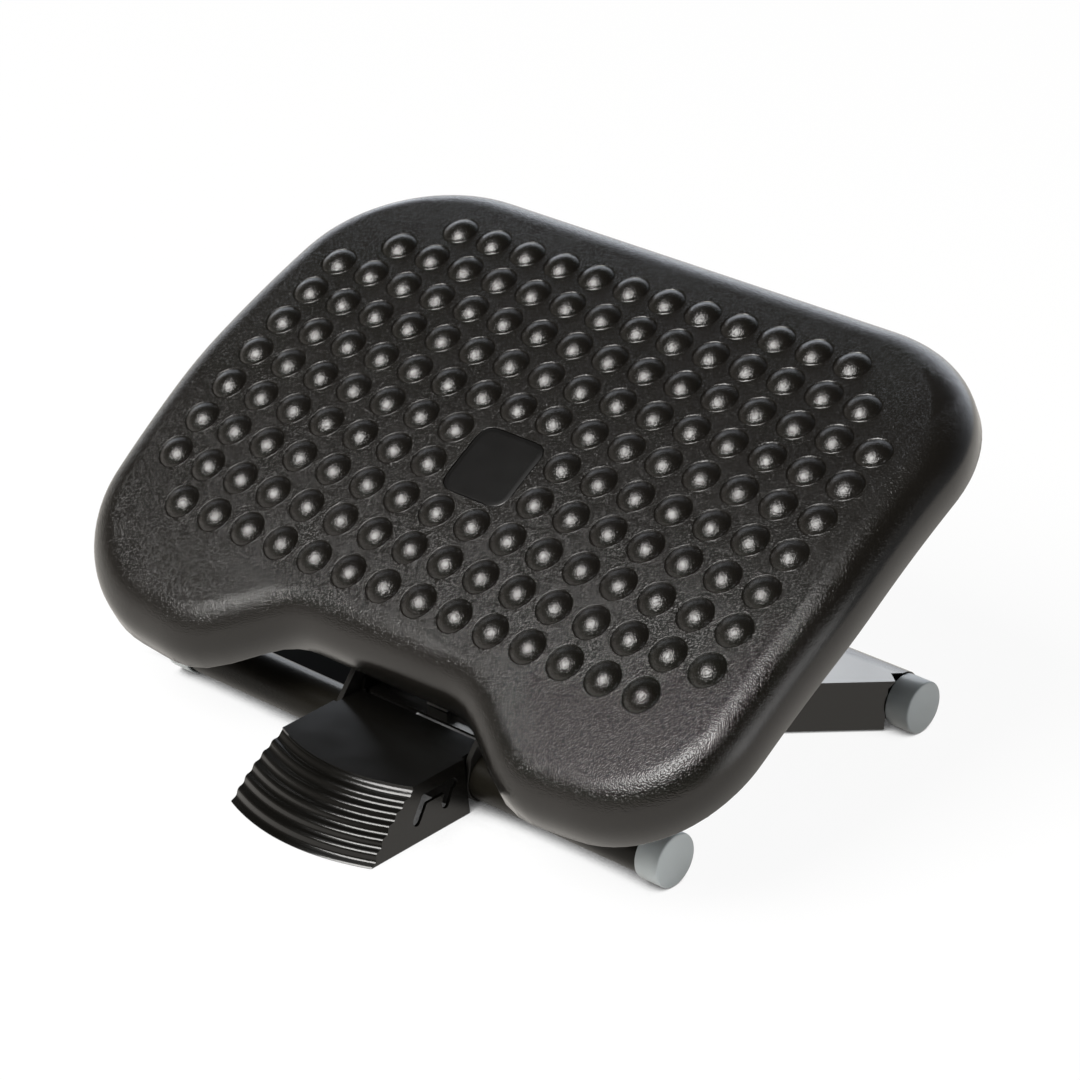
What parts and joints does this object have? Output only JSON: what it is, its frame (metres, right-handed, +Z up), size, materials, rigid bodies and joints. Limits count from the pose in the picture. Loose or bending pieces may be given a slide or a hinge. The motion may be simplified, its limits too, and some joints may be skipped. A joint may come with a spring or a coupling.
{
  "type": "under desk footrest",
  "caption": "Tilting under-desk footrest: a studded bowed platform on a folding steel frame, with a foot pedal that releases the height prop.",
  "frame": {"origin": "middle of the footprint on the floor", "axes": "+X to the sitter's right, along the long side of the platform; +Y away from the sitter; +Z up"},
  "size_m": [0.441, 0.3272, 0.2124],
  "materials": {
    "platform_plastic": "moulded, fine grained",
    "badge": "smooth satin",
    "pedal_plastic": "semi-gloss moulded",
    "black_steel": "semi-gloss black paint",
    "deck_steel": "semi-gloss black paint",
    "frame_steel": "semi-gloss black paint",
    "grey_cap": "satin moulded",
    "zinc": "zinc plated",
    "nylon": "natural nylon",
    "rubber": "soft matt"
  },
  "bodies": {
    "base": {"front_tube": "black_steel", "rear_tube": "black_steel", "front_left_cap": "grey_cap", "front_right_cap": "grey_cap", "rear_left_cap": "grey_cap", "rear_right_cap": "grey_cap", "chassis_deck": "deck_steel", "left_rack": "zinc", "right_rack": "zinc", "left_rack_screw_1": "zinc", "left_rack_screw_2": "zinc", "right_rack_screw_1": "zinc", "right_rack_screw_2": "zinc", "strap_guide_1": "zinc", "strap_guide_2": "zinc"},
    "lift": {"lift_frame": "frame_steel", "tilt_shaft": "zinc", "left_shaft_nut": "zinc", "right_shaft_nut": "zinc", "left_friction_washer": "nylon", "right_friction_washer": "nylon", "clamp_tube": "zinc", "prop_pin": "zinc", "left_prop_spacer": "nylon", "right_prop_spacer": "nylon"},
    "prop": {"prop": "frame_steel"},
    "platform": {"platform_shell": "platform_plastic", "badge_plate": "badge", "cradle": "frame_steel", "cradle_screw_1": "zinc", "cradle_screw_2": "zinc", "cradle_screw_3": "zinc", "cradle_screw_4": "zinc", "front_left_pad": "rubber", "front_right_pad": "rubber", "rear_left_pad": "rubber", "rear_right_pad": "rubber"},
    "pedal": {"pedal": "pedal_plastic"},
    "release": {"release_strap": "zinc", "release_rod": "zinc"}
  },
  "joints": [
    {"name": "height", "type": "hinge", "parent": "base", "child": "lift", "pos_m": [0, -0.06693, 0.0143], "axis": [1, 0, 0], "range_deg": [-15.4, 0]},
    {"name": "prop_swing", "type": "hinge", "parent": "lift", "child": "prop", "pos_m": [0, -0.00319, 0.09135], "axis": [1, 0, 0], "range_deg": [-1, 31]},
    {"name": "tilt", "type": "hinge", "parent": "lift", "child": "platform", "pos_m": [0, 0.016, 0.11454], "axis": [1, 0, 0], "range_deg": [-25, 5]},
    {"name": "pedal_press", "type": "hinge", "parent": "base", "child": "pedal", "pos_m": [0, -0.06693, 0.0143], "axis": [-1, 0, 0], "range_deg": [0, 10]},
    {"name": "release_slide", "type": "slide", "parent": "base", "child": "release", "axis": [0, 1, 0], "range_m": [0, 0.0035]}
  ],
  "couplings": [
    {"joint": "prop_swing", "follows": "height", "ratio": -1.94},
    {"joint": "release_slide", "follows": "pedal_press", "m_per_rad": 0.019}
  ]
}
